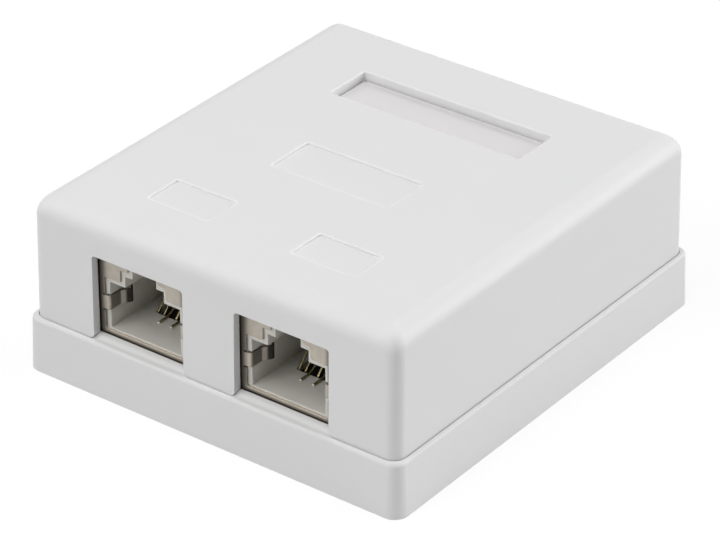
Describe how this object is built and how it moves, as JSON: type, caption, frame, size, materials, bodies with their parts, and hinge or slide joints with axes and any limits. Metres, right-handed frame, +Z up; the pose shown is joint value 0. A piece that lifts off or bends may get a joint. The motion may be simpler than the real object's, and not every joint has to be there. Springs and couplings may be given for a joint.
{
  "type": "surface mount jack box",
  "caption": "Square-edged white surface box with shielded modular sockets in its front, a clear label window on top and a lift-off cover over a flat wall base.",
  "frame": {"origin": "middle of the base's flat underside, where the box meets the wall or desk", "axes": "+X along the front from the left socket to the right one, +Y from the sockets to the back, +Z up out of the wall or desk"},
  "size_m": [0.0616, 0.0676, 0.0261],
  "materials": {
    "white_plastic": "fine matte moulded white",
    "clear_window": "clear gloss moulded plastic",
    "paper_card": "plain uncoated paper",
    "board_laminate": "satin solder mask",
    "zinc_screws": "bright zinc plate",
    "nickel_sheet": "satin nickel plate",
    "socket_plastic": "slightly translucent off-white",
    "gold_contacts": "gold plate",
    "dark_plastic": "matte black",
    "block_plastic": "satin moulded",
    "tinned_blades": "tin plate"
  },
  "bodies": {
    "base": {"base": "white_plastic", "circuit_board": "board_laminate", "board_screws": "zinc_screws", "screen_clamp": "nickel_sheet", "clamp_screws": "zinc_screws", "left_jack_shell": "nickel_sheet", "left_jack_housing": "socket_plastic", "left_jack_contacts": "gold_contacts", "left_contact_carrier": "dark_plastic", "left_front_terminal_block": "block_plastic", "left_front_blades": "tinned_blades", "left_rear_terminal_block": "block_plastic", "left_rear_blades": "tinned_blades", "right_jack_shell": "nickel_sheet", "right_jack_housing": "socket_plastic", "right_jack_contacts": "gold_contacts", "right_contact_carrier": "dark_plastic", "right_front_terminal_block": "block_plastic", "right_front_blades": "tinned_blades", "right_rear_terminal_block": "block_plastic", "right_rear_blades": "tinned_blades"},
    "cover": {"cover": "white_plastic", "label_card": "paper_card", "cover_screw": "zinc_screws"},
    "label_window": {"label_window": "clear_window"}
  },
  "joints": [
    {"name": "cover_lift", "type": "slide", "parent": "base", "child": "cover", "axis": [0, 0, 1], "range_m": [0, 0.03]},
    {"name": "window_lift", "type": "slide", "parent": "cover", "child": "label_window", "axis": [0, 0, 1], "range_m": [0, 0.004]}
  ]
}
